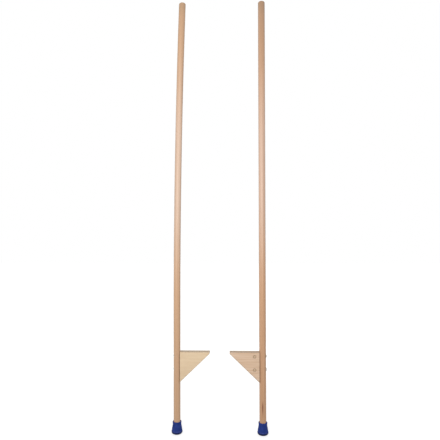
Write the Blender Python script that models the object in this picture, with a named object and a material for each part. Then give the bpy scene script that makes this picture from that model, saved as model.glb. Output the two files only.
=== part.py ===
"""A pair of walking stilts: round beech poles with triangular steps and rubber feet.

Both stilts are one build, but the left pole has a bend and its bolts are drawn in deeper. Each is
modelled about its own pole axis, with the step along its local +X, the bolt heads on its -X side and
the barrel nuts put in from its +Y face. The right stilt is turned half round, so that the two steps
point at each other. Units are metres, +Z is up, and the origin lies on the ground midway between the
poles.
"""
import math

import bmesh
import bpy
from mathutils import Matrix

# The pair
OVERALL_HEIGHT = 1.800
POLE_SPACING = 0.356
FIT_GAP = 0.0003  # left between pieces that touch

# Poles: round beech stock, one of them with the gentle bend that long handles take
POLE_DIAMETER = 0.028
POLE_TOP_ROUND = 0.006
POLE_FOOT_CHAMFER = 0.001
STRAIGHT_ABOVE_STEP = 0.160  # the pole stays straight this far above the step
LEFT_POLE_BEND = 0.0235  # how far the bend carries the top towards the step's side

# Steps: triangular plywood blocks, hollowed to sit on the round pole
STEP_TOP_HEIGHT = 0.3385
STEP_REACH = 0.123  # from the side of the pole to the nose
STEP_DROP = 0.1245  # from the top to where the slanting underside meets the pole
STEP_THICKNESS = 0.028
STEP_NOSE = 0.0065
STEP_EDGE_ROUND = 0.002
NOSE_ROUND_LIMIT = 0.45  # the largest edge rounding, as a share of the nose
SADDLE_DEPTH = 0.0008

# Bolts: round heads with a square neck that is drawn into the wood
UPPER_BOLT_DROP = 0.0175  # from the top of the step to the upper bolt
BOLT_PITCH = 0.0545
BOLT_DIAMETER = 0.008
BOLT_HEAD_DIAMETER = 0.018
BOLT_HEAD_HEIGHT = 0.0046
BOLT_HEAD_RIM = 0.0008
LEFT_SEAT_DEPTH = 0.0040  # how deep the heads are drawn into the side of the pole
RIGHT_SEAT_DEPTH = 0.0017
BOLT_NECK_WIDTH = 0.0082
BOLT_NECK_LENGTH = 0.004
BOLT_TAIL = 0.011  # from the nut's axis to the end of a bolt that is drawn in least
BOLT_TIP_CHAMFER = 0.001
BOLT_END_ROOM = 0.001  # of the drilled hole past the end of a bolt that is drawn in most

# Barrel nuts: slotted steel cross dowels in blind holes
NUT_SETBACK = 0.020  # from the side of the pole to the nut's axis
NUT_DIAMETER = 0.012
NUT_RECESS = 0.0015  # of the nut's end below the face of the step
NUT_BACK_WALL = 0.005  # wood left behind the blind hole
NUT_MOUTH_CHAMFER = 0.001  # round the mouth of the blind hole
NUT_CHAMFER = 0.0006
NUT_SLOT_WIDTH = 0.0016
NUT_SLOT_DEPTH = 0.002

# Ferrules: flared rubber feet with a treaded sole
FERRULE_HEIGHT = 0.0495
COLLAR_WALL = 0.0037
COLLAR_HEIGHT = 0.0135  # of the straight part below the rim
COLLAR_RIM_ROUND = 0.0015
COLLAR_MOUTH_CHAMFER = 0.001
FLARE_WIDTH = 0.0048  # how far the widest line stands out from the collar
FLARE_CURVE = 1.2  # 1 gives a straight cone, more gives sides that swell outwards
WIDEST_HEIGHT = 0.0075
TOE_ROUND = 0.009  # from the widest line in to the flat of the sole
SOLE_THICKNESS = 0.012
TREAD_GROOVES = 2
TREAD_GROOVE_WIDTH = 0.002
TREAD_GROOVE_DEPTH = 0.0015

# Washers in the bottom of the ferrules
WASHER_MARGIN = 0.001  # between the washer's edge and the pole's
WASHER_HOLE_DIAMETER = 0.0085
WASHER_THICKNESS = 0.002

# How finely round shapes are divided
POLE_SEGMENTS = 40
POLE_BEND_RINGS = 10
FERRULE_SEGMENTS = 36
SMALL_SEGMENTS = 24
FLARE_RINGS = 5
TOE_RINGS = 4
ROUND_RINGS = 3
DOME_RINGS = 4
SHARP_ANGLE = math.radians(35)
MERGE_DISTANCE = 1e-6

# Colours (linear RGB), roughness and metallic value of each material
BEECH = ("beech", (0.64, 0.42, 0.26), 0.50, 0.0)
PLYWOOD = ("plywood", (0.68, 0.50, 0.32), 0.55, 0.0)
BLUE_RUBBER = ("blue_rubber", (0.022, 0.038, 0.178), 0.60, 0.0)
ZINC_STEEL = ("zinc_steel", (0.55, 0.53, 0.50), 0.35, 1.0)

# Sizes and places that follow from the driving dimensions
pole_radius = POLE_DIAMETER / 2
socket_radius = pole_radius + FIT_GAP
collar_radius = socket_radius + COLLAR_WALL
base_radius = collar_radius + FLARE_WIDTH
sole_radius = base_radius - TOE_ROUND
washer_foot = SOLE_THICKNESS + FIT_GAP
pole_foot = washer_foot + WASHER_THICKNESS + FIT_GAP
bend_start = STEP_TOP_HEIGHT + STRAIGHT_ABOVE_STEP
step_end = pole_radius - SADDLE_DEPTH
step_nose = pole_radius + STEP_REACH
step_edge_round = min(STEP_EDGE_ROUND, NOSE_ROUND_LIMIT * STEP_NOSE)
upper_bolt_height = STEP_TOP_HEIGHT - UPPER_BOLT_DROP
lower_bolt_height = upper_bolt_height - BOLT_PITCH
nut_axis = pole_radius + NUT_SETBACK
least_seat_depth = min(LEFT_SEAT_DEPTH, RIGHT_SEAT_DEPTH)
most_seat_depth = max(LEFT_SEAT_DEPTH, RIGHT_SEAT_DEPTH)
bolt_hole_radius = BOLT_DIAMETER / 2 + FIT_GAP
bolt_length = pole_radius - least_seat_depth + FIT_GAP + nut_axis + BOLT_TAIL
bolt_hole_end = nut_axis + BOLT_TAIL + most_seat_depth - least_seat_depth + BOLT_END_ROOM
nut_hole_bottom = -STEP_THICKNESS / 2 + NUT_BACK_WALL
nut_inner_end = nut_hole_bottom + FIT_GAP
nut_outer_end = STEP_THICKNESS / 2 - NUT_RECESS
cut_margin = POLE_DIAMETER  # how far cutters reach past what they cut

along_x = Matrix.Rotation(math.pi / 2, 4, "Y")  # turns a shape made along +Z to lie along +X
along_y = Matrix.Rotation(-math.pi / 2, 4, "X")  # turns a shape made along +Z to lie along +Y


def clear_scene():
    for item in list(bpy.data.objects):
        bpy.data.objects.remove(item, do_unlink=True)


def make_material(name, colour, roughness, metallic):
    material = bpy.data.materials.new(name)
    material.use_nodes = True
    shader = material.node_tree.nodes["Principled BSDF"]
    shader.inputs["Base Color"].default_value = (*colour, 1.0)
    shader.inputs["Roughness"].default_value = roughness
    shader.inputs["Metallic"].default_value = metallic
    return material


def arc(centre, radii, start, end, rings):
    """Points of an elliptical arc in the profile plane, both ends included."""
    points = []
    for step in range(rings + 1):
        angle = start + (end - start) * step / rings
        points.append((centre[0] + radii[0] * math.cos(angle), centre[1] + radii[1] * math.sin(angle)))
    return points


def to_mesh(bm, name):
    bmesh.ops.recalc_face_normals(bm, faces=bm.faces)
    mesh = bpy.data.meshes.new(name)
    bm.to_mesh(mesh)
    bm.free()
    return mesh


def turned(name, profile, segments, closed=False):
    """A shape turned about Z from (radius, height) points."""
    bm = bmesh.new()
    points = [bm.verts.new((radius, 0.0, height)) for radius, height in profile]
    pairs = list(zip(points, points[1:]))
    if closed:
        pairs.append((points[-1], points[0]))
    edges = [bm.edges.new(pair) for pair in pairs]
    bmesh.ops.spin(bm, geom=points + edges, cent=(0, 0, 0), axis=(0, 0, 1), angle=2 * math.pi,
                   steps=segments, use_merge=True)
    bmesh.ops.remove_doubles(bm, verts=bm.verts, dist=MERGE_DISTANCE)
    return to_mesh(bm, name)


def cutter(profile, direction, centre, segments=SMALL_SEGMENTS):
    """A turned shape laid along a direction, its axis through centre."""
    mesh = turned("cutter", profile, segments)
    mesh.transform(Matrix.Translation(centre) @ direction)
    return mesh


def rod(radius, start, end, direction, centre, segments=SMALL_SEGMENTS):
    """A round cutter from start to end along a direction, its axis through centre."""
    profile = [(0, start), (radius, start), (radius, end), (0, end)]
    return cutter(profile, direction, centre, segments)


def block(low, high):
    """A box between two corners."""
    bm = bmesh.new()
    size = [b - a for a, b in zip(low, high)]
    middle = [(a + b) / 2 for a, b in zip(low, high)]
    bmesh.ops.create_cube(bm, size=1.0, matrix=Matrix.Translation(middle) @ Matrix.Diagonal((*size, 1)))
    return to_mesh(bm, "block")


def combined(name, mesh, others, operation):
    """The mesh with other meshes cut away from it (DIFFERENCE) or joined to it (UNION)."""
    body = bpy.data.objects.new(name, mesh)
    bpy.context.collection.objects.link(body)
    tools = []
    for other in others:
        tool = bpy.data.objects.new("tool", other)
        bpy.context.collection.objects.link(tool)
        tools.append(tool)
        change = body.modifiers.new("change", "BOOLEAN")
        change.operation = operation
        change.object = tool
    depsgraph = bpy.context.evaluated_depsgraph_get()
    result = bpy.data.meshes.new_from_object(body.evaluated_get(depsgraph))
    result.name = name
    for item in [body, *tools]:
        bpy.data.objects.remove(item, do_unlink=True)
    return result


def pole_mesh(name, bend, seat_plane):
    top = OVERALL_HEIGHT
    shoulder = top - POLE_TOP_ROUND
    profile = [(0, pole_foot), (pole_radius - POLE_FOOT_CHAMFER, pole_foot)]
    profile.append((pole_radius, pole_foot + POLE_FOOT_CHAMFER))
    for ring in range(POLE_BEND_RINGS):
        profile.append((pole_radius, bend_start + (shoulder - bend_start) * ring / POLE_BEND_RINGS))
    round_centre = (pole_radius - POLE_TOP_ROUND, shoulder)
    profile += arc(round_centre, (POLE_TOP_ROUND, POLE_TOP_ROUND), 0, math.pi / 2, ROUND_RINGS)
    profile.append((0, top))
    stick = turned(name, profile, POLE_SEGMENTS)
    for vertex in stick.vertices:
        share = max(0.0, (vertex.co.z - bend_start) / (top - bend_start))
        vertex.co.x += bend * share ** 2

    cutters = []
    outside = -(pole_radius + cut_margin)
    head_room = BOLT_HEAD_DIAMETER / 2 + FIT_GAP
    neck_room = BOLT_NECK_WIDTH / 2 + FIT_GAP
    neck_end = seat_plane + BOLT_NECK_LENGTH
    for height in (upper_bolt_height, lower_bolt_height):
        cutters.append(rod(head_room, outside, seat_plane, along_x, (0, 0, height)))
        neck_low = (outside, -neck_room, height - neck_room)
        neck_high = (neck_end, neck_room, height + neck_room)
        cutters.append(block(neck_low, neck_high))
        cutters.append(rod(bolt_hole_radius, outside, -outside, along_x, (0, 0, height)))
    return combined(name, stick, cutters, "DIFFERENCE")


def crosses_seat(edge):
    """Whether an edge of the step runs across its thickness at the pole, where it stays square."""
    first, second = (vertex.co for vertex in edge.verts)
    return max(first.x, second.x) < pole_radius and first.y != second.y


def step_mesh():
    top = STEP_TOP_HEIGHT
    outline = [(step_end, top), (step_nose, top), (step_nose, top - STEP_NOSE), (step_end, top - STEP_DROP)]
    bm = bmesh.new()
    front = [bm.verts.new((x, -STEP_THICKNESS / 2, z)) for x, z in outline]
    front_face = bm.faces.new(front)
    back = bmesh.ops.extrude_face_region(bm, geom=[front_face])["geom"]
    moved = [item for item in back if isinstance(item, bmesh.types.BMVert)]
    bmesh.ops.translate(bm, verts=moved, vec=(0, STEP_THICKNESS, 0))
    rounded = [edge for edge in bm.edges if not crosses_seat(edge)]
    bmesh.ops.bevel(bm, geom=rounded, offset=step_edge_round, offset_type="OFFSET", segments=ROUND_RINGS,
                    profile=0.5, affect="EDGES", clamp_overlap=True)
    wedge = to_mesh(bm, "step")

    below = top - STEP_DROP - cut_margin
    cutters = [rod(socket_radius, below, top + cut_margin, Matrix.Identity(4), (0, 0, 0), POLE_SEGMENTS)]
    nut_room = NUT_DIAMETER / 2 + FIT_GAP
    face = STEP_THICKNESS / 2
    mouth = nut_room + NUT_MOUTH_CHAMFER
    nut_hole = [(0, nut_hole_bottom), (nut_room, nut_hole_bottom), (nut_room, face - NUT_MOUTH_CHAMFER)]
    nut_hole += [(mouth, face), (mouth, face + cut_margin), (0, face + cut_margin)]
    for height in (upper_bolt_height, lower_bolt_height):
        cutters.append(rod(bolt_hole_radius, 0, bolt_hole_end, along_x, (0, 0, height)))
        cutters.append(cutter(nut_hole, along_y, (nut_axis, 0, height)))
    return combined("step", wedge, cutters, "DIFFERENCE")


def bolt_mesh():
    """A bolt along +Z, the underside of its head at height 0."""
    head_radius = BOLT_HEAD_DIAMETER / 2
    dome = BOLT_HEAD_HEIGHT - BOLT_HEAD_RIM
    dome_radius = (head_radius ** 2 + dome ** 2) / (2 * dome)
    dome_centre = (0, dome_radius - BOLT_HEAD_HEIGHT)
    crown = -math.pi / 2
    brim = crown + math.asin(head_radius / dome_radius)
    shank = BOLT_DIAMETER / 2
    profile = arc(dome_centre, (dome_radius, dome_radius), crown, brim, DOME_RINGS)
    profile += [(head_radius, 0), (shank, 0), (shank, bolt_length - BOLT_TIP_CHAMFER)]
    profile += [(shank - BOLT_TIP_CHAMFER, bolt_length), (0, bolt_length)]
    bolt = turned("bolt", profile, SMALL_SEGMENTS)
    side = BOLT_NECK_WIDTH / 2
    neck = block((-side, -side, -BOLT_HEAD_RIM), (side, side, BOLT_NECK_LENGTH))
    return combined("bolt", bolt, [neck], "UNION")


def barrel_nut_mesh():
    """A nut along +Y, the axis of its bolt hole along X through the origin."""
    radius = NUT_DIAMETER / 2
    end_radius = radius - NUT_CHAMFER
    profile = [(0, nut_inner_end), (end_radius, nut_inner_end), (radius, nut_inner_end + NUT_CHAMFER)]
    profile += [(radius, nut_outer_end - NUT_CHAMFER), (end_radius, nut_outer_end), (0, nut_outer_end)]
    nut = turned("barrel_nut", profile, SMALL_SEGMENTS)
    nut.transform(along_y)
    hole = rod(bolt_hole_radius, -NUT_DIAMETER, NUT_DIAMETER, along_x, (0, 0, 0))
    slot_side = NUT_SLOT_WIDTH / 2
    slot_floor = nut_outer_end - NUT_SLOT_DEPTH
    slot_top = nut_outer_end + cut_margin
    slot = block((-NUT_DIAMETER, slot_floor, -slot_side), (NUT_DIAMETER, slot_top, slot_side))
    return combined("barrel_nut", nut, [hole, slot], "DIFFERENCE")


def ferrule_mesh():
    profile = [(0, 0)]
    for groove in range(TREAD_GROOVES):
        centre = sole_radius * (groove + 1) / (TREAD_GROOVES + 1)
        inner = centre - TREAD_GROOVE_WIDTH / 2
        outer = centre + TREAD_GROOVE_WIDTH / 2
        profile += [(inner, 0), (inner, TREAD_GROOVE_DEPTH), (outer, TREAD_GROOVE_DEPTH), (outer, 0)]
    toe_centre = (sole_radius, WIDEST_HEIGHT)
    profile += arc(toe_centre, (TOE_ROUND, WIDEST_HEIGHT), -math.pi / 2, 0, TOE_RINGS)
    collar_foot = FERRULE_HEIGHT - COLLAR_HEIGHT
    for ring in range(1, FLARE_RINGS + 1):
        share = ring / FLARE_RINGS
        height = WIDEST_HEIGHT + (collar_foot - WIDEST_HEIGHT) * share
        profile.append((base_radius - FLARE_WIDTH * share ** FLARE_CURVE, height))
    rim_centre = (collar_radius - COLLAR_RIM_ROUND, FERRULE_HEIGHT - COLLAR_RIM_ROUND)
    profile += arc(rim_centre, (COLLAR_RIM_ROUND, COLLAR_RIM_ROUND), 0, math.pi / 2, ROUND_RINGS)
    profile += [(socket_radius + COLLAR_MOUTH_CHAMFER, FERRULE_HEIGHT)]
    profile += [(socket_radius, FERRULE_HEIGHT - COLLAR_MOUTH_CHAMFER)]
    profile += [(socket_radius, SOLE_THICKNESS), (0, SOLE_THICKNESS)]
    return turned("ferrule", profile, FERRULE_SEGMENTS)


def washer_mesh():
    outer = pole_radius - WASHER_MARGIN
    inner = WASHER_HOLE_DIAMETER / 2
    profile = [(inner, 0), (outer, 0), (outer, WASHER_THICKNESS), (inner, WASHER_THICKNESS)]
    return turned("ferrule_washer", profile, SMALL_SEGMENTS, closed=True)


def add_piece(name, mesh, material, stilt, location=(0, 0, 0), turn=Matrix.Identity(4)):
    mesh.shade_smooth()
    mesh.set_sharp_from_angle(angle=SHARP_ANGLE)
    mesh.materials.clear()
    mesh.materials.append(material)
    piece = bpy.data.objects.new(name, mesh)
    bpy.context.collection.objects.link(piece)
    piece.parent = stilt
    piece.location = location
    piece.rotation_euler = turn.to_euler()


def add_stilt(side, spacing_sign, turn, bend, seat_depth, shared, materials):
    """One stilt, its pieces parented to an empty on the pole's axis at the ground."""
    stilt = bpy.data.objects.new(f"{side}_stilt", None)
    bpy.context.collection.objects.link(stilt)
    stilt.location = (spacing_sign * POLE_SPACING / 2, 0, 0)
    stilt.rotation_euler = (0, 0, turn)
    steel = materials["zinc_steel"]
    seat_plane = seat_depth - pole_radius
    pole = pole_mesh(f"{side}_pole", bend, seat_plane)
    add_piece(f"{side}_pole", pole, materials["beech"], stilt)
    add_piece(f"{side}_step", shared["step"], materials["plywood"], stilt)
    add_piece(f"{side}_ferrule", shared["ferrule"], materials["blue_rubber"], stilt)
    washer_place = (0, 0, washer_foot)
    add_piece(f"{side}_ferrule_washer", shared["washer"], steel, stilt, washer_place)
    for level, height in (("upper", upper_bolt_height), ("lower", lower_bolt_height)):
        bolt_place = (seat_plane - FIT_GAP, 0, height)
        add_piece(f"{side}_{level}_bolt", shared["bolt"], steel, stilt, bolt_place, along_x)
        nut_place = (nut_axis, 0, height)
        add_piece(f"{side}_{level}_barrel_nut", shared["nut"], steel, stilt, nut_place)


def main():
    clear_scene()
    materials = {entry[0]: make_material(*entry) for entry in (BEECH, PLYWOOD, BLUE_RUBBER, ZINC_STEEL)}
    shared = {
        "step": step_mesh(),
        "ferrule": ferrule_mesh(),
        "washer": washer_mesh(),
        "bolt": bolt_mesh(),
        "nut": barrel_nut_mesh(),
    }
    add_stilt("left", -1, 0.0, LEFT_POLE_BEND, LEFT_SEAT_DEPTH, shared, materials)
    add_stilt("right", 1, math.pi, 0.0, RIGHT_SEAT_DEPTH, shared, materials)


main()
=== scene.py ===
"""The looks of a pair of walking stilts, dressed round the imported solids.

Each stilt is built about its own pole axis, with the step along its local +X and the barrel nuts put
in from its +Y face, and is then set in place. Units are metres.
"""
import math

import bmesh
import bpy
from mathutils import Matrix, Vector


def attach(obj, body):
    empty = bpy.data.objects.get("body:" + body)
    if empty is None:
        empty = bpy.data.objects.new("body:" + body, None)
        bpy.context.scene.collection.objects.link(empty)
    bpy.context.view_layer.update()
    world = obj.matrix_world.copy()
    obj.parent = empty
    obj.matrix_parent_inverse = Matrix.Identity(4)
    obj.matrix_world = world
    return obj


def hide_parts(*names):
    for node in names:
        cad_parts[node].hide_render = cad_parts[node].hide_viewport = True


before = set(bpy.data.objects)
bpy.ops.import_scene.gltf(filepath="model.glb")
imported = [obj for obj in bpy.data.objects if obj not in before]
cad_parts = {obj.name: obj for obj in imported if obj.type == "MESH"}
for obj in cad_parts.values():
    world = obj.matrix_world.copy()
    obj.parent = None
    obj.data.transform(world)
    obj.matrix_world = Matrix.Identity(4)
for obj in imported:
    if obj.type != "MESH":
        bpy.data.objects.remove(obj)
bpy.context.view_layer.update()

# Sizes, as in the part's source
POLE_SPACING = 0.356
FIT_GAP = 0.0003  # left between pieces that touch
POLE_TOP = 1.800
POLE_RADIUS = 0.014
POLE_TOP_ROUND = 0.006
POLE_FOOT_CHAMFER = 0.001
STRAIGHT_ABOVE_STEP = 0.160  # the pole stays straight this far above the step
LEFT_POLE_BEND = 0.0235  # how far the bend carries the top towards the step's side
STEP_TOP = 0.3385
STEP_REACH = 0.123  # from the side of the pole to the nose
STEP_DROP = 0.1245  # from the top to where the slanting underside meets the pole
STEP_THICKNESS = 0.028
STEP_NOSE = 0.0065
STEP_EDGE_ROUND = 0.002
SADDLE_DEPTH = 0.0008
UPPER_BOLT_DROP = 0.0175  # from the top of the step to the upper bolt
BOLT_PITCH = 0.0545
BOLT_RADIUS = 0.004
BOLT_HEAD_RADIUS = 0.009
BOLT_HEAD_HEIGHT = 0.0046
BOLT_HEAD_RIM = 0.0008
LEFT_SEAT_DEPTH = 0.0040  # how deep the heads are drawn into the side of the pole
RIGHT_SEAT_DEPTH = 0.0017
BOLT_NECK_WIDTH = 0.0082
BOLT_NECK_LENGTH = 0.004
BOLT_TAIL = 0.011  # from the nut's axis to the end of a right bolt, which is drawn in least
BOLT_TIP_CHAMFER = 0.001
BOLT_END_ROOM = 0.001  # of the drilled hole past the end of a left bolt
NUT_SETBACK = 0.020  # from the side of the pole to the nut's axis
NUT_RADIUS = 0.006
NUT_RECESS = 0.0015  # of the nut's end below the face of the step
NUT_BACK_WALL = 0.005  # wood left behind the blind hole
NUT_MOUTH_CHAMFER = 0.001  # round the mouth of the blind hole
NUT_CHAMFER = 0.0006
NUT_SLOT_WIDTH = 0.0016
NUT_SLOT_DEPTH = 0.002
FERRULE_HEIGHT = 0.0495
COLLAR_WALL = 0.0037
COLLAR_HEIGHT = 0.0135  # of the straight part below the rim
COLLAR_RIM_ROUND = 0.0015
COLLAR_MOUTH = 0.001  # by how much the socket's mouth is eased
FLARE_WIDTH = 0.0048  # how far the widest line stands out from the collar
FLARE_CURVE = 1.2  # 1 gives a straight cone, more gives sides that swell outwards
WIDEST_HEIGHT = 0.0075
TOE_ROUND = 0.009  # from the widest line in to the flat of the sole
SOLE_THICKNESS = 0.012
TREAD_GROOVES = 2
TREAD_GROOVE_WIDTH = 0.002
TREAD_GROOVE_DEPTH = 0.0015
WASHER_THICKNESS = 0.002

# Sizes and places that follow from those
SOCKET_RADIUS = POLE_RADIUS + FIT_GAP
COLLAR_RADIUS = SOCKET_RADIUS + COLLAR_WALL
FOOT_RADIUS = COLLAR_RADIUS + FLARE_WIDTH
SOLE_RADIUS = FOOT_RADIUS - TOE_ROUND
POLE_FOOT = SOLE_THICKNESS + FIT_GAP + WASHER_THICKNESS + FIT_GAP
BEND_START = STEP_TOP + STRAIGHT_ABOVE_STEP
STEP_END = POLE_RADIUS - SADDLE_DEPTH
STEP_NOSE_END = POLE_RADIUS + STEP_REACH
STEP_FACE = STEP_THICKNESS / 2
UPPER_BOLT_HEIGHT = STEP_TOP - UPPER_BOLT_DROP
BOLT_HEIGHTS = (("upper", UPPER_BOLT_HEIGHT), ("lower", UPPER_BOLT_HEIGHT - BOLT_PITCH))
BOLT_SEATS = {"left": LEFT_SEAT_DEPTH - POLE_RADIUS, "right": RIGHT_SEAT_DEPTH - POLE_RADIUS}
NUT_AXIS = POLE_RADIUS + NUT_SETBACK
BOLT_LENGTH = NUT_AXIS + BOLT_TAIL + FIT_GAP - BOLT_SEATS["right"]
BOLT_HOLE_RADIUS = BOLT_RADIUS + FIT_GAP
BOLT_HOLE_END = NUT_AXIS + BOLT_TAIL + LEFT_SEAT_DEPTH - RIGHT_SEAT_DEPTH + BOLT_END_ROOM
NUT_HOLE_BOTTOM = NUT_BACK_WALL - STEP_FACE
NUT_INNER_END = NUT_HOLE_BOTTOM + FIT_GAP
NUT_OUTER_END = STEP_FACE - NUT_RECESS

# Fine detail that only the looks have
BOLT_BRIM_CHAMFER = 0.0002
TREAD_EDGE = 0.0002  # by which the edges of the grooves are broken
BAND_TOP = 0.0105  # of the raised band round the foot
BAND_EDGE = ((0.0, 0.0006), (0.0001, 0.0002))  # how far in and how far below its top
BAND_DEPTH = 0.0003
BEAD_DEPTH = 0.0003  # how far the bead stands out at the rim
BEAD_HEIGHT = 0.0045
BEAD_SLOPE = 0.0008

# How finely round shapes are divided
POLE_SEGMENTS = 64
FERRULE_SEGMENTS = 96
SMALL_SEGMENTS = 48
POLE_BEND_RINGS = 36
POLE_TOP_RINGS = 8
STEP_EDGE_RINGS = 6
DOME_RINGS = 10
TOE_RINGS = 14
FLARE_RINGS = 20
RIM_RINGS = 6
MOUTH_RINGS = 4
SHARP_ANGLE = math.radians(32)
MERGE_DISTANCE = 1e-6

# Places and sizes in the beech; a pair of numbers is where a change starts and where it is complete
RING_WIDTH = 0.0031
RING_WANDER = 0.010
# Painted light: the poles are paler about this height, where the key lamp lights them most, and deeper
# towards both ends as painted shade
PAINTED_LIGHT_HEIGHT = 1.10
PAINTED_SHADE_SPAN = (0.10, 0.56)  # how far above or below the palest height the painted shade of the ends starts and is full
TOP_DARKENING_HEIGHTS = (1.35, POLE_TOP)
GRIMED_SHADED_TOP_HEIGHTS = (1.73, 1.79)
STAIN_MIDDLE = 0.0011  # along X
STAIN_HALF_WIDTH = (0.0042, 0.0006)
STAIN_SIDE = (0.006, 0.011)  # along Y

# Places and sizes in the plywood
PLIES = 13
GLUE_DEPTH = (0.00005, 0.0004)  # below the faces, which have no glue lines
SLANT_SHADE_REACH = (0.0065, 0.0015)  # of the painted shade, inwards from the slanting underside

# Places and sizes on the rubber
# The pale ring round the foot is a painted highlight
HIGHLIGHT_RING_HEIGHT = 0.0128
HIGHLIGHT_RING_HALF_WIDTH = (0.0030, 0.0010)
# The toe's darkening is painted shade
TOE_SHADE_HEIGHTS = (0.0116, 0.0088)
SCRATCHED_HEIGHTS = (0.016, 0.001)

# Colours, in linear RGB; a tint multiplies what is under it
BROAD_GRAIN_TINT = (0.86, 0.82, 0.78)
FLECK = (0.40, 0.205, 0.105)
STAIN = (0.22, 0.065, 0.033)
EARLY_END_GRAIN = (0.47, 0.335, 0.235)
LATE_END_GRAIN = (0.35, 0.245, 0.168)
TOP_DARKENING_TINT = (0.72, 0.80, 0.95)
GRIMED_SHADED_TOP_TINT = (0.72, 0.80, 0.80)
PORE = (0.44, 0.29, 0.165)
CROSS_PLY_DARK = (0.52, 0.37, 0.225)
CROSS_PLY_LIGHT = (0.62, 0.46, 0.295)
GLUE = (0.30, 0.19, 0.11)
CUT_EDGE_AND_SHADE_TINT = (0.69, 0.70, 0.725)
SLANT_SHADE_TINT = (0.84, 0.86, 0.88)
SCUFF = (0.40, 0.31, 0.23)
RUBBER_DARK = (0.0217, 0.0428, 0.208)
RUBBER_LIGHT = (0.0306, 0.0567, 0.268)
HIGHLIGHT_RING_RUBBER = (0.056, 0.078, 0.285)
TOE_SHADE_RUBBER = (0.0150, 0.0215, 0.078)
SCRATCH = (0.10, 0.115, 0.20)
FLOOR_GREY = (0.42, 0.42, 0.42)
WHITE = (1, 1, 1)

# Floor and light
FLOOR_REACH = 8.0  # from the middle of the floor to its sides
FLOOR_GLOW = (0.69, 0.78)  # near the stilts and away from them
GLOW_DISTANCES = (0.4, 1.4)
FILL_LIGHT = 0.64

# Camera, fitted to the poles, steps and feet
CAMERA_DISTANCE = 1.7545
CAMERA_HEIGHT = 0.8563
CAMERA_AZIMUTH = math.radians(1.95)
CAMERA_HEADING = CAMERA_AZIMUTH + math.radians(-0.082)
CAMERA_PITCH = math.radians(0.932)
CAMERA_ROLL = math.radians(-0.124)
FOCAL_PIXELS = 420
IMAGE_PIXELS = 440
SENSOR_WIDTH = 36.0  # millimetres

ALONG_X = Matrix.Rotation(math.pi / 2, 4, "Y")  # turns a shape made along +Z to lie along +X
ALONG_Y = Matrix.Rotation(-math.pi / 2, 4, "X")  # turns a shape made along +Z to lie along +Y


# Meshes

def arc(centre, radii, start, end, rings):
    """Points of an elliptical arc in the profile plane, both ends included."""
    points = []
    for ring in range(rings + 1):
        angle = start + (end - start) * ring / rings
        points.append((centre[0] + radii[0] * math.cos(angle), centre[1] + radii[1] * math.sin(angle)))
    return points


def to_mesh(bm, name):
    bmesh.ops.recalc_face_normals(bm, faces=bm.faces)
    mesh = bpy.data.meshes.new(name)
    bm.to_mesh(mesh)
    bm.free()
    return mesh


def turned(name, profile, segments):
    """A closed shape turned about Z from (radius, height) points."""
    bm = bmesh.new()
    points = [bm.verts.new((radius, 0.0, height)) for radius, height in profile]
    edges = [bm.edges.new(pair) for pair in zip(points, points[1:])]
    bmesh.ops.spin(bm, geom=points + edges, cent=(0, 0, 0), axis=(0, 0, 1), angle=2 * math.pi,
                   steps=segments, use_merge=True)
    bmesh.ops.remove_doubles(bm, verts=bm.verts, dist=MERGE_DISTANCE)
    return to_mesh(bm, name)


def tool(profile, direction, centre):
    """A turned cutter, laid along a direction."""
    mesh = turned("tool", profile, SMALL_SEGMENTS)
    mesh.transform(Matrix.Translation(centre) @ direction)
    return mesh


def rod(radius, start, end, direction, centre):
    return tool([(0, start), (radius, start), (radius, end), (0, end)], direction, centre)


def block(low, high):
    """A box between two corners."""
    bm = bmesh.new()
    size = [b - a for a, b in zip(low, high)]
    middle = [(a + b) / 2 for a, b in zip(low, high)]
    bmesh.ops.create_cube(bm, size=1.0, matrix=Matrix.Translation(middle) @ Matrix.Diagonal((*size, 1)))
    return to_mesh(bm, "block")


def combined(name, mesh, others, operation):
    """The mesh with others cut away from it (DIFFERENCE) or joined to it (UNION)."""
    body = bpy.data.objects.new(name, mesh)
    bpy.context.collection.objects.link(body)
    tools = []
    for other in others:
        extra = bpy.data.objects.new("extra", other)
        bpy.context.collection.objects.link(extra)
        tools.append(extra)
        change = body.modifiers.new("change", "BOOLEAN")
        change.operation = operation
        change.object = extra
    depsgraph = bpy.context.evaluated_depsgraph_get()
    result = bpy.data.meshes.new_from_object(body.evaluated_get(depsgraph))
    result.name = name
    for item in [body, *tools]:
        bpy.data.objects.remove(item, do_unlink=True)
    return result


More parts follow.
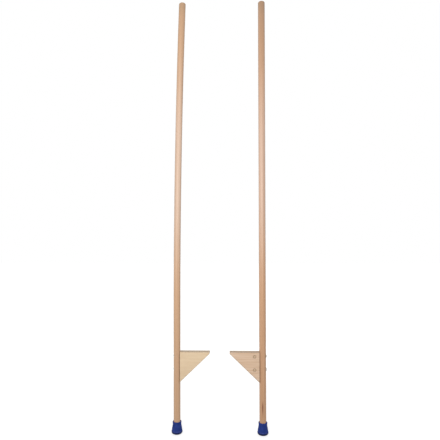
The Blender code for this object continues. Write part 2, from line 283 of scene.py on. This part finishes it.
def pole_mesh(name, bend, seat):
    """A pole with its bend, and with a round seat, a square neck hole and a shank hole for each bolt."""
    shoulder = POLE_TOP - POLE_TOP_ROUND
    profile = [(0, POLE_FOOT), (POLE_RADIUS - POLE_FOOT_CHAMFER, POLE_FOOT)]
    profile.append((POLE_RADIUS, POLE_FOOT + POLE_FOOT_CHAMFER))
    for ring in range(POLE_BEND_RINGS):
        profile.append((POLE_RADIUS, BEND_START + (shoulder - BEND_START) * ring / POLE_BEND_RINGS))
    round_centre = (POLE_RADIUS - POLE_TOP_ROUND, shoulder)
    profile += arc(round_centre, (POLE_TOP_ROUND, POLE_TOP_ROUND), 0, math.pi / 2, POLE_TOP_RINGS)
    profile.append((0, POLE_TOP))
    stick = turned(name, profile, POLE_SEGMENTS)
    for vertex in stick.vertices:
        share = max(0.0, (vertex.co.z - BEND_START) / (POLE_TOP - BEND_START))
        vertex.co.x += bend * share ** 2
    outside = -2 * POLE_RADIUS
    head_room = BOLT_HEAD_RADIUS + FIT_GAP
    neck_room = BOLT_NECK_WIDTH / 2 + FIT_GAP
    neck_end = seat + BOLT_NECK_LENGTH
    cutters = []
    for _, height in BOLT_HEIGHTS:
        cutters.append(rod(head_room, outside, seat, ALONG_X, (0, 0, height)))
        neck_low = (outside, -neck_room, height - neck_room)
        neck_high = (neck_end, neck_room, height + neck_room)
        cutters.append(block(neck_low, neck_high))
        cutters.append(rod(BOLT_HOLE_RADIUS, outside, -outside, ALONG_X, (0, 0, height)))
    return combined(name, stick, cutters, "DIFFERENCE")


def crosses_seat(edge):
    """Whether an edge of the step runs across its thickness at the pole, where it stays square."""
    first, second = (vertex.co for vertex in edge.verts)
    return max(first.x, second.x) < POLE_RADIUS and first.y != second.y


def step_mesh():
    """A triangular step, hollowed for the pole and drilled for the bolts and barrel nuts."""
    outline = [(STEP_END, STEP_TOP), (STEP_NOSE_END, STEP_TOP), (STEP_NOSE_END, STEP_TOP - STEP_NOSE)]
    outline.append((STEP_END, STEP_TOP - STEP_DROP))
    bm = bmesh.new()
    front = [bm.verts.new((x, -STEP_FACE, z)) for x, z in outline]
    front_face = bm.faces.new(front)
    back = bmesh.ops.extrude_face_region(bm, geom=[front_face])["geom"]
    moved = [item for item in back if isinstance(item, bmesh.types.BMVert)]
    bmesh.ops.translate(bm, verts=moved, vec=(0, STEP_THICKNESS, 0))
    rounded = [edge for edge in bm.edges if not crosses_seat(edge)]
    bmesh.ops.bevel(bm, geom=rounded, offset=STEP_EDGE_ROUND, offset_type="OFFSET",
                    segments=STEP_EDGE_RINGS, profile=0.5, affect="EDGES", clamp_overlap=True)
    wedge = to_mesh(bm, "step")
    above = 2 * STEP_TOP
    saddle = [(0, 0), (SOCKET_RADIUS, 0), (SOCKET_RADIUS, above), (0, above)]
    cutters = [turned("saddle", saddle, POLE_SEGMENTS)]
    room = NUT_RADIUS + FIT_GAP
    mouth = room + NUT_MOUTH_CHAMFER
    hole = [(0, NUT_HOLE_BOTTOM), (room, NUT_HOLE_BOTTOM), (room, STEP_FACE - NUT_MOUTH_CHAMFER)]
    hole += [(mouth, STEP_FACE), (mouth, 2 * STEP_FACE), (0, 2 * STEP_FACE)]
    for _, height in BOLT_HEIGHTS:
        cutters.append(rod(BOLT_HOLE_RADIUS, 0, BOLT_HOLE_END, ALONG_X, (0, 0, height)))
        cutters.append(tool(hole, ALONG_Y, (NUT_AXIS, 0, height)))
    return combined("step", wedge, cutters, "DIFFERENCE")


def bolt_mesh(seat):
    """A bolt along +X, its head's underside at the seat in the pole."""
    dome = BOLT_HEAD_HEIGHT - BOLT_HEAD_RIM
    dome_radius = (BOLT_HEAD_RADIUS ** 2 + dome ** 2) / (2 * dome)
    crown = -math.pi / 2
    brim = crown + math.asin(BOLT_HEAD_RADIUS / dome_radius)
    profile = arc((0, dome_radius - BOLT_HEAD_HEIGHT), (dome_radius, dome_radius), crown, brim, DOME_RINGS)
    profile += [(BOLT_HEAD_RADIUS, -BOLT_BRIM_CHAMFER), (BOLT_HEAD_RADIUS - BOLT_BRIM_CHAMFER, 0)]
    profile += [(BOLT_RADIUS, 0), (BOLT_RADIUS, BOLT_LENGTH - BOLT_TIP_CHAMFER)]
    profile += [(BOLT_RADIUS - BOLT_TIP_CHAMFER, BOLT_LENGTH), (0, BOLT_LENGTH)]
    bolt = turned("bolt", profile, SMALL_SEGMENTS)
    side = BOLT_NECK_WIDTH / 2
    neck = block((-side, -side, -BOLT_HEAD_RIM), (side, side, BOLT_NECK_LENGTH))
    bolt = combined("bolt", bolt, [neck], "UNION")
    bolt.transform(Matrix.Translation((seat - FIT_GAP, 0, 0)) @ ALONG_X)
    return bolt


def nut_mesh():
    """A slotted barrel nut along +Y, its thread along X through the bolt's axis."""
    end_radius = NUT_RADIUS - NUT_CHAMFER
    profile = [(0, NUT_INNER_END), (end_radius, NUT_INNER_END)]
    profile += [(NUT_RADIUS, NUT_INNER_END + NUT_CHAMFER), (NUT_RADIUS, NUT_OUTER_END - NUT_CHAMFER)]
    profile += [(end_radius, NUT_OUTER_END), (0, NUT_OUTER_END)]
    nut = turned("nut", profile, SMALL_SEGMENTS)
    nut.transform(ALONG_Y)
    reach = 2 * NUT_RADIUS
    hole = rod(BOLT_HOLE_RADIUS, -reach, reach, ALONG_X, (0, 0, 0))
    half = NUT_SLOT_WIDTH / 2
    slot = block((-reach, NUT_OUTER_END - NUT_SLOT_DEPTH, -half), (reach, 2 * NUT_OUTER_END, half))
    nut = combined("nut", nut, [hole, slot], "DIFFERENCE")
    nut.transform(Matrix.Translation((NUT_AXIS, 0, 0)))
    return nut


def ferrule_mesh():
    """A flared foot with a treaded sole, a foot band and a beaded rim."""
    profile = [(0, 0)]
    for groove in range(TREAD_GROOVES):
        centre = SOLE_RADIUS * (groove + 1) / (TREAD_GROOVES + 1)
        inner = centre - TREAD_GROOVE_WIDTH / 2
        outer = centre + TREAD_GROOVE_WIDTH / 2
        profile += [(inner - TREAD_EDGE, 0), (inner, TREAD_EDGE), (inner + TREAD_EDGE, TREAD_GROOVE_DEPTH)]
        profile += [(outer - TREAD_EDGE, TREAD_GROOVE_DEPTH), (outer, TREAD_EDGE), (outer + TREAD_EDGE, 0)]
    profile += arc((SOLE_RADIUS, WIDEST_HEIGHT), (TOE_ROUND, WIDEST_HEIGHT), -math.pi / 2, 0, TOE_RINGS)
    for inward, down in BAND_EDGE:
        profile.append((FOOT_RADIUS - inward, BAND_TOP - down))
    collar_foot = FERRULE_HEIGHT - COLLAR_HEIGHT
    for ring in range(FLARE_RINGS + 1):
        share = ring / FLARE_RINGS
        height = BAND_TOP + (collar_foot - BAND_TOP) * share
        along = (height - WIDEST_HEIGHT) / (collar_foot - WIDEST_HEIGHT)
        radius = FOOT_RADIUS - FLARE_WIDTH * along ** FLARE_CURVE
        profile.append((radius - BAND_DEPTH * (1 - share), height))
    bead_foot = FERRULE_HEIGHT - BEAD_HEIGHT
    bead_radius = COLLAR_RADIUS + BEAD_DEPTH
    profile += [(COLLAR_RADIUS, bead_foot - BEAD_SLOPE), (bead_radius, bead_foot)]
    rim_centre = (bead_radius - COLLAR_RIM_ROUND, FERRULE_HEIGHT - COLLAR_RIM_ROUND)
    profile += arc(rim_centre, (COLLAR_RIM_ROUND, COLLAR_RIM_ROUND), 0, math.pi / 2, RIM_RINGS)
    mouth_centre = (SOCKET_RADIUS + COLLAR_MOUTH, FERRULE_HEIGHT - COLLAR_MOUTH)
    profile += arc(mouth_centre, (COLLAR_MOUTH, COLLAR_MOUTH), math.pi / 2, math.pi, MOUTH_RINGS)
    profile += [(SOCKET_RADIUS, SOLE_THICKNESS), (0, SOLE_THICKNESS)]
    return turned("ferrule", profile, FERRULE_SEGMENTS)


# Materials

class Graph:
    """The node tree of a material or world, with short ways to add nodes."""

    def __init__(self, owner, shader):
        owner.use_nodes = True
        self.owner = owner
        self.tree = owner.node_tree
        self.shader = self.tree.nodes[shader]

    def fill(self, socket, value):
        if isinstance(value, bpy.types.NodeSocket):
            self.tree.links.new(value, socket)
        elif isinstance(value, tuple) and socket.type == "RGBA":
            socket.default_value = (*value, 1.0)
        else:
            socket.default_value = value

    def set_shader(self, values):
        for name, value in values.items():
            self.fill(self.shader.inputs[name], value)

    def place(self):
        return self.tree.nodes.new("ShaderNodeTexCoord").outputs["Object"]

    def normal(self):
        return self.tree.nodes.new("ShaderNodeNewGeometry").outputs["Normal"]

    def math(self, operation, first, second=0.0, third=0.0):
        node = self.tree.nodes.new("ShaderNodeMath")
        node.operation = operation
        for socket, value in zip(node.inputs, (first, second, third)):
            self.fill(socket, value)
        return node.outputs[0]

    def times(self, first, second):
        return self.math("MULTIPLY", first, second)

    def away(self, value, level):
        """How far the value lies from a level, to either side."""
        return self.math("ABSOLUTE", self.math("SUBTRACT", value, level))

    def between(self, value, low, high, to_low=0.0, to_high=1.0):
        """A smooth step from to_low, where the value is low, to to_high, where it is high."""
        node = self.tree.nodes.new("ShaderNodeMapRange")
        node.interpolation_type = "SMOOTHSTEP"
        for socket, part in zip(node.inputs, (value, low, high, to_low, to_high)):
            self.fill(socket, part)
        return node.outputs[0]

    def vector(self, operation, first, second=(0, 0, 0)):
        node = self.tree.nodes.new("ShaderNodeVectorMath")
        node.operation = operation
        self.fill(node.inputs[0], first)
        self.fill(node.inputs[1], second)
        return node.outputs["Value" if operation in ("LENGTH", "DOT_PRODUCT") else "Vector"]

    def parts(self, vector):
        node = self.tree.nodes.new("ShaderNodeSeparateXYZ")
        self.fill(node.inputs[0], vector)
        return node.outputs

    def joined(self, x, y, z):
        node = self.tree.nodes.new("ShaderNodeCombineXYZ")
        for socket, value in zip(node.inputs, (x, y, z)):
            self.fill(socket, value)
        return node.outputs[0]

    def noise(self, place, scale, detail=2.0, roughness=0.5):
        """Noise about 0.5, with scale in cells per metre along each axis."""
        node = self.tree.nodes.new("ShaderNodeTexNoise")
        self.fill(node.inputs["Vector"], self.vector("MULTIPLY", place, scale))
        node.inputs["Scale"].default_value = 1.0
        node.inputs["Detail"].default_value = detail
        node.inputs["Roughness"].default_value = roughness
        return node.outputs[0]

    def cells(self, place, scale):
        """Distance to the nearest cell point, with scale in cells per metre along each axis."""
        node = self.tree.nodes.new("ShaderNodeTexVoronoi")
        self.fill(node.inputs["Vector"], self.vector("MULTIPLY", place, scale))
        node.inputs["Scale"].default_value = 1.0
        return node.outputs["Distance"]

    def mix(self, share, first, second, blend="MIX"):
        node = self.tree.nodes.new("ShaderNodeMix")
        node.data_type = "RGBA"
        node.blend_type = blend
        self.fill(node.inputs[0], share)
        self.fill(node.inputs[6], first)
        self.fill(node.inputs[7], second)
        return node.outputs[2]

    def tinted(self, share, colour, tint):
        """The colour times a tint, by share."""
        return self.mix(share, colour, tint, "MULTIPLY")

    def shaded(self, share, colour, factor):
        """The colour times a factor, by share."""
        return self.tinted(share, colour, (factor, factor, factor))

    def bump(self, height, distance, strength):
        node = self.tree.nodes.new("ShaderNodeBump")
        node.inputs["Strength"].default_value = strength
        node.inputs["Distance"].default_value = distance
        self.fill(node.inputs["Height"], height)
        self.fill(self.shader.inputs["Normal"], node.outputs[0])


def material_graph(name):
    return Graph(bpy.data.materials.new(name), "Principled BSDF")


def beech(name, offset, pith, lean, pale, deep, top_darkening, stain=None):
    """Turned beech: growth rings cut lengthwise, fibres, ray flecks and darker end grain.

    The offset moves the grain. The rings lie about a pith beside the pole, and lean is how far the pith
    drifts per metre of height. The wood is pale about one height as painted light and deep towards both
    ends as painted shade, and it is darker towards the top by a given share. A stain is a streak on the
    +Y side, given by its lowest, darkest and highest heights.
    """
    g = material_graph(name)
    here = g.place()
    x, y, z = g.parts(here)
    moved = g.vector("ADD", here, offset)

    slow = g.noise(moved, (9, 9, 1.3), 2.0)
    broad = g.noise(moved, (130, 130, 0.9), 2.0, 0.6)
    fibre = g.noise(moved, (900, 900, 14), 3.0, 0.65)
    fine = g.noise(moved, (3200, 3200, 160), 2.0)

    from_pith = g.vector("LENGTH", g.joined(
        g.math("MULTIPLY_ADD", z, -lean[0], g.math("SUBTRACT", x, pith[0])),
        g.math("MULTIPLY_ADD", z, -lean[1], g.math("SUBTRACT", y, pith[1])),
        0.0))
    wandering = g.math("MULTIPLY_ADD", slow, RING_WANDER, from_pith)
    ring = g.math("FRACT", g.math("DIVIDE", wandering, RING_WIDTH))
    late = g.times(g.between(ring, 0.30, 0.97), g.between(ring, 1.0, 0.985))

    # Painted light and shade: paler about one height, deeper towards both ends
    colour = g.mix(g.between(g.away(z, PAINTED_LIGHT_HEIGHT), *PAINTED_SHADE_SPAN), pale, deep)
    colour = g.tinted(g.between(broad, 0.30, 0.70), colour, BROAD_GRAIN_TINT)
    colour = g.shaded(g.times(late, 0.55), colour, 0.84)
    colour = g.shaded(g.between(fibre, 0.42, 0.72), colour, 0.90)
    fleck = g.between(g.cells(moved, (1150, 1150, 260)), 0.30, 0.16)
    fleck = g.times(fleck, g.between(g.noise(moved, (160, 160, 22)), 0.42, 0.60))
    colour = g.mix(g.times(fleck, 0.55), colour, FLECK)

    if stain:
        lowest, darkest, highest = stain
        along = g.times(g.between(z, lowest, darkest), g.between(z, highest, darkest))
        across = g.between(g.away(x, STAIN_MIDDLE), *STAIN_HALF_WIDTH)
        mark = g.times(g.times(along, across), g.between(y, *STAIN_SIDE))
        colour = g.mix(g.times(mark, 0.92), colour, STAIN)

    upright = g.math("ABSOLUTE", g.parts(g.normal())[2])
    end_grain = g.between(upright, 0.35, 0.90)
    end_colour = g.mix(late, EARLY_END_GRAIN, LATE_END_GRAIN)
    colour = g.mix(g.times(end_grain, 0.75), colour, end_colour)
    # Darker towards the top of the pole, by the given share
    colour = g.tinted(g.times(g.between(z, *TOP_DARKENING_HEIGHTS), top_darkening), colour, TOP_DARKENING_TINT)
    # The tip is greyed and darkened: partly grime, partly painted shade on the rounded top that faces up
    colour = g.tinted(g.times(g.between(z, *GRIMED_SHADED_TOP_HEIGHTS), 0.40), colour, GRIMED_SHADED_TOP_TINT)

    g.set_shader({"Base Color": colour, "Roughness": g.math("MULTIPLY_ADD", fibre, 0.16, 0.42)})
    height = g.math("MULTIPLY_ADD", fine, 0.4, g.math("MULTIPLY_ADD", fleck, -0.5, fibre))
    g.bump(height, distance=0.00012, strength=0.6)
    return g.owner


def plywood(name, offset, face_colour, contrast, slant_shade):
    """Multi-ply board: a figured face veneer and, on cut edges, plies of alternate grain."""
    g = material_graph(name)
    here = g.place()
    y = g.parts(here)[1]
    moved = g.vector("ADD", here, offset)
    ply = STEP_THICKNESS / PLIES
    inside = 0.998  # keeps both faces within their outer plies
    level = g.math("DIVIDE", g.math("MULTIPLY_ADD", y, inside, STEP_FACE), ply)
    in_ply = g.math("FRACT", level)
    crossed = g.math("FLOORED_MODULO", g.math("FLOOR", level), 2.0)

    long_fibre = g.noise(moved, (16, 900, 900), 3.0, 0.6)
    fine_fibre = g.noise(moved, (45, 3000, 3000), 2.0)
    end_fibre = g.noise(moved, (1500, 700, 1500), 2.0)
    figure = g.noise(moved, (7, 60, 130), 2.0, 0.55)
    slow = g.noise(moved, (10, 10, 16), 2.0)

    pale = tuple(part * (1 + contrast * rise) for part, rise in zip(face_colour, (0.025, 0.035, 0.050)))
    deep = tuple(part * (1 - contrast * fall) for part, fall in zip(face_colour, (0.035, 0.055, 0.080)))
    colour = g.mix(g.between(figure, 0.35, 0.68), pale, deep)
    colour = g.shaded(g.between(slow, 0.45, 0.80), colour, 0.965)
    colour = g.shaded(g.between(long_fibre, 0.48, 0.76), colour, 0.945)
    colour = g.shaded(g.between(fine_fibre, 0.46, 0.72), colour, 0.95)
    pore = g.between(g.cells(moved, (190, 1500, 1500)), 0.27, 0.13)
    pore = g.times(pore, g.between(g.noise(moved, (25, 220, 220)), 0.46, 0.62))
    colour = g.mix(g.times(pore, 0.38), colour, PORE)
    colour = g.mix(crossed, colour, g.mix(end_fibre, CROSS_PLY_DARK, CROSS_PLY_LIGHT))
    glue = g.math("MAXIMUM", g.between(in_ply, 0.07, 0.02), g.between(in_ply, 0.93, 0.98))
    glue_start, glue_full = (STEP_FACE - depth for depth in GLUE_DEPTH)
    off_face = g.between(g.math("ABSOLUTE", y), glue_start, glue_full)
    colour = g.mix(g.times(g.times(glue, off_face), 0.5), colour, GLUE)

    facing = g.parts(g.normal())
    # Surfaces that face neither front nor back are darker: partly the tone of cut plies, partly painted
    # shade on the step's top
    cut_edge_and_shade = g.between(g.math("ABSOLUTE", facing[1]), 0.97, 0.70)
    colour = g.tinted(cut_edge_and_shade, colour, CUT_EDGE_AND_SHADE_TINT)
    # Painted shade along the slanting underside, darkening it and the faces next to it
    slant = Vector((STEP_NOSE - STEP_DROP, 0.0, STEP_NOSE_END - STEP_END)).normalized()
    slant_foot = Vector((STEP_END, 0.0, STEP_TOP - STEP_DROP))
    from_slant = g.math("SUBTRACT", g.vector("DOT_PRODUCT", here, tuple(slant)), slant.dot(slant_foot))
    colour = g.tinted(g.times(g.between(from_slant, *SLANT_SHADE_REACH), slant_shade), colour, SLANT_SHADE_TINT)
    tread = g.between(facing[2], 0.75, 0.98)
    scuffed = g.between(g.noise(moved, (60, 90, 90), 4.0, 0.7), 0.50, 0.68)
    colour = g.mix(g.times(g.times(tread, scuffed), 0.30), colour, SCUFF)

    g.set_shader({"Base Color": colour, "Roughness": g.math("MULTIPLY_ADD", long_fibre, 0.15, 0.46)})
    g.bump(g.math("MULTIPLY_ADD", end_fibre, 0.3, long_fibre), distance=0.0001, strength=0.5)
    return g.owner


def rubber(name, offset, toe_shade):
    """Moulded rubber with a fine grain and scratches low down, a painted highlight as a pale ring above its
    foot band, and painted shade darkening the toe.
    """
    g = material_graph(name)
    here = g.place()
    z = g.parts(here)[2]
    moved = g.vector("ADD", here, offset)
    cloud = g.noise(moved, (70, 70, 70), 3.0, 0.6)
    grain = g.noise(moved, (2600, 2600, 2600), 2.0)
    colour = g.mix(g.between(cloud, 0.35, 0.70), RUBBER_DARK, RUBBER_LIGHT)
    # A pale ring just above the foot band is a painted highlight, broken up by noise
    highlight_ring = g.between(g.away(z, HIGHLIGHT_RING_HEIGHT), *HIGHLIGHT_RING_HALF_WIDTH)
    highlight_ring = g.times(highlight_ring, g.between(g.noise(moved, (150, 150, 150), 2.0), 0.34, 0.52))
    colour = g.mix(g.times(highlight_ring, 0.95), colour, HIGHLIGHT_RING_RUBBER)
    # The toe below the foot band, where it turns under, is darkened with painted shade
    colour = g.mix(g.times(g.between(z, *TOE_SHADE_HEIGHTS), toe_shade), colour, TOE_SHADE_RUBBER)
    scratched = g.between(g.noise(moved, (420, 420, 1300), 4.0, 0.7), 0.52, 0.66)
    scratched = g.times(g.between(z, *SCRATCHED_HEIGHTS), scratched)
    colour = g.mix(g.times(scratched, 0.20), colour, SCRATCH)
    g.set_shader({"Base Color": colour, "Roughness": g.math("MULTIPLY_ADD", cloud, 0.14, 0.44),
                  "Specular IOR Level": 0.03})
    g.bump(grain, distance=0.00005, strength=0.5)
    return g.owner


def zinc(name, light, dark):
    """Zinc plating, a little uneven in tone and gloss."""
    g = material_graph(name)
    here = g.place()
    cloud = g.noise(here, (260, 260, 260), 2.0)
    grain = g.noise(here, (5200, 5200, 5200), 2.0)
    colour = g.mix(g.between(cloud, 0.35, 0.68), light, dark)
    g.set_shader({"Base Color": colour, "Roughness": g.math("MULTIPLY_ADD", cloud, 0.16, 0.20),
                  "Metallic": 1.0})
    g.bump(grain, distance=0.00003, strength=0.5)
    return g.owner


# Pieces

def add_piece(name, mesh, material, side, turn, node, height=0.0):
    """A piece of one stilt, in place of the solid of that node."""
    mesh.materials.clear()
    mesh.materials.append(material)
    mesh.shade_smooth()
    mesh.set_sharp_from_angle(angle=SHARP_ANGLE)
    piece = bpy.data.objects.new(name, mesh)
    bpy.context.scene.collection.objects.link(piece)
    sign = -1 if side == "left" else 1
    piece.location = (sign * POLE_SPACING / 2, 0, height)
    piece.rotation_euler = (0, 0, turn)
    weighted = piece.modifiers.new("weighted_normals", "WEIGHTED_NORMAL")
    weighted.keep_sharp = True
    weighted.weight = 100
    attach(piece, f"{side}_stilt")
    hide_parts(node)


def add_stilt(side, turn, bend, pole_material, step_material, foot_material, bolt_material, nut_material):
    """The pieces of one stilt; its washer, which nothing shows, stays the solid itself."""
    seat = BOLT_SEATS[side]
    pole_name = f"{side}_pole_turned"
    add_piece(pole_name, pole_mesh(pole_name, bend, seat), pole_material, side, turn,
              f"{side}_pole")
    add_piece(f"{side}_step_board", step_mesh(), step_material, side, turn,
              f"{side}_step")
    add_piece(f"{side}_foot", ferrule_mesh(), foot_material, side, turn,
              f"{side}_ferrule")
    for level, height in BOLT_HEIGHTS:
        add_piece(f"{side}_{level}_cup_bolt", bolt_mesh(seat), bolt_material, side, turn,
                  f"{side}_{level}_bolt", height)
        add_piece(f"{side}_{level}_cross_dowel", nut_mesh(), nut_material, side, turn,
                  f"{side}_{level}_barrel_nut", height)
    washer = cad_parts[f"{side}_ferrule_washer"]
    washer.data.materials.clear()
    washer.data.materials.append(bolt_material)


# Floor, light and camera

def seen_directly(g):
    """1 for camera, glossy and transmission rays, which see plain white, and 0 for diffuse rays."""
    path = g.tree.nodes.new("ShaderNodeLightPath").outputs
    seen = path["Is Camera Ray"]
    for kind in ("Is Glossy Ray", "Is Transmission Ray"):
        seen = g.math("MAXIMUM", seen, path[kind])
    return seen


def make_world():
    """A sky that is white to look at and lights the stilts with the fill light."""
    world = bpy.data.worlds.new("studio")
    bpy.context.scene.world = world
    g = Graph(world, "Background")
    strength = g.math("ADD", g.times(seen_directly(g), 1.0 - FILL_LIGHT), FILL_LIGHT)
    g.set_shader({"Color": WHITE, "Strength": strength})


def make_floor():
    """A grey floor that takes shadows, with a glow that makes it white to look at."""
    bm = bmesh.new()
    bmesh.ops.create_grid(bm, x_segments=2, y_segments=2, size=FLOOR_REACH)
    floor = bpy.data.objects.new("floor", to_mesh(bm, "floor"))
    bpy.context.scene.collection.objects.link(floor)
    g = material_graph("floor_paint")
    glow = g.between(g.vector("LENGTH", g.place()), *GLOW_DISTANCES, *FLOOR_GLOW)
    g.set_shader({"Base Color": FLOOR_GREY, "Roughness": 0.9, "Specular IOR Level": 0.0,
                  "Emission Color": WHITE, "Emission Strength": g.times(seen_directly(g), glow)})
    floor.data.materials.append(g.owner)


def add_lamp(name, place, aim, size, power, gloss):
    """A round soft lamp; without gloss it lights surfaces but shows no highlight on them."""
    light = bpy.data.lights.new(name, "AREA")
    light.shape = "DISK"
    light.size = size
    light.energy = power
    lamp = bpy.data.objects.new(name, light)
    bpy.context.scene.collection.objects.link(lamp)
    lamp.location = place
    lamp.rotation_euler = (Vector(aim) - Vector(place)).to_track_quat("-Z", "Y").to_euler()
    lamp.visible_glossy = gloss


def add_camera():
    level = math.cos(CAMERA_PITCH)
    forward = Vector((-math.sin(CAMERA_HEADING) * level, math.cos(CAMERA_HEADING) * level,
                      math.sin(CAMERA_PITCH)))
    right = Vector((math.cos(CAMERA_HEADING), math.sin(CAMERA_HEADING), 0.0))
    up = right.cross(forward)
    across = right * math.cos(CAMERA_ROLL) + up * math.sin(CAMERA_ROLL)
    upward = up * math.cos(CAMERA_ROLL) - right * math.sin(CAMERA_ROLL)
    data = bpy.data.cameras.new("camera")
    data.sensor_width = SENSOR_WIDTH
    data.lens = SENSOR_WIDTH * FOCAL_PIXELS / IMAGE_PIXELS
    data.clip_start = 0.05
    camera = bpy.data.objects.new("camera", data)
    bpy.context.scene.collection.objects.link(camera)
    turn = Matrix((across, upward, -forward)).transposed().to_4x4()
    place = Vector((CAMERA_DISTANCE * math.sin(CAMERA_AZIMUTH), -CAMERA_DISTANCE * math.cos(CAMERA_AZIMUTH),
                    CAMERA_HEIGHT))
    camera.matrix_world = Matrix.Translation(place) @ turn
    bpy.context.scene.camera = camera


bright_zinc = zinc("bright_zinc", light=(0.47, 0.44, 0.40), dark=(0.43, 0.40, 0.36))
# The barrel nuts' warm tone is a painted reflection of the wood round their recesses
zinc_with_painted_wood_reflection = zinc("zinc_with_painted_wood_reflection", light=(0.58, 0.435, 0.298), dark=(0.52, 0.385, 0.26))

beech_left = beech("beech_left", offset=(0.31, 0.17, 0.0), pith=(-0.046, -0.031), lean=(-0.006, 0.004),
                   pale=(0.740, 0.535, 0.402), deep=(0.673, 0.420, 0.254), top_darkening=0.0)
plywood_left = plywood("plywood_left", offset=(0.11, 0.0, 0.53), face_colour=(0.800, 0.612, 0.403),
                       contrast=1.0, slant_shade=0.3)
rubber_left = rubber("rubber_left", offset=(2.2, 1.1, 0.7), toe_shade=0.9)
add_stilt("left", 0.0, LEFT_POLE_BEND, beech_left, plywood_left, rubber_left, bright_zinc, zinc_with_painted_wood_reflection)

beech_right = beech("beech_right", offset=(0.83, 0.57, 3.1), pith=(0.052, -0.040), lean=(-0.003, -0.005),
                    pale=(0.735, 0.508, 0.380), deep=(0.667, 0.392, 0.226), top_darkening=0.45,
                    stain=(0.064, 0.116, 0.144))
plywood_right = plywood("plywood_right", offset=(0.67, 0.0, 0.29), face_colour=(0.740, 0.528, 0.368),
                        contrast=2.2, slant_shade=0.8)
rubber_right = rubber("rubber_right", offset=(2.7, 2.4, 1.3), toe_shade=1.0)
add_stilt("right", math.pi, 0.0, beech_right, plywood_right, rubber_right, bright_zinc, zinc_with_painted_wood_reflection)

make_world()
make_floor()
add_lamp("key", place=(-0.30, -1.45, 1.16), aim=(0.0, 0.0, 1.08), size=0.60, power=15.0, gloss=True)
add_lamp("back", place=(0.45, 1.50, 0.60), aim=(0.0, 0.0, 0.95), size=0.90, power=8.0, gloss=False)
add_camera()
bpy.context.scene.view_settings.view_transform = "Standard"
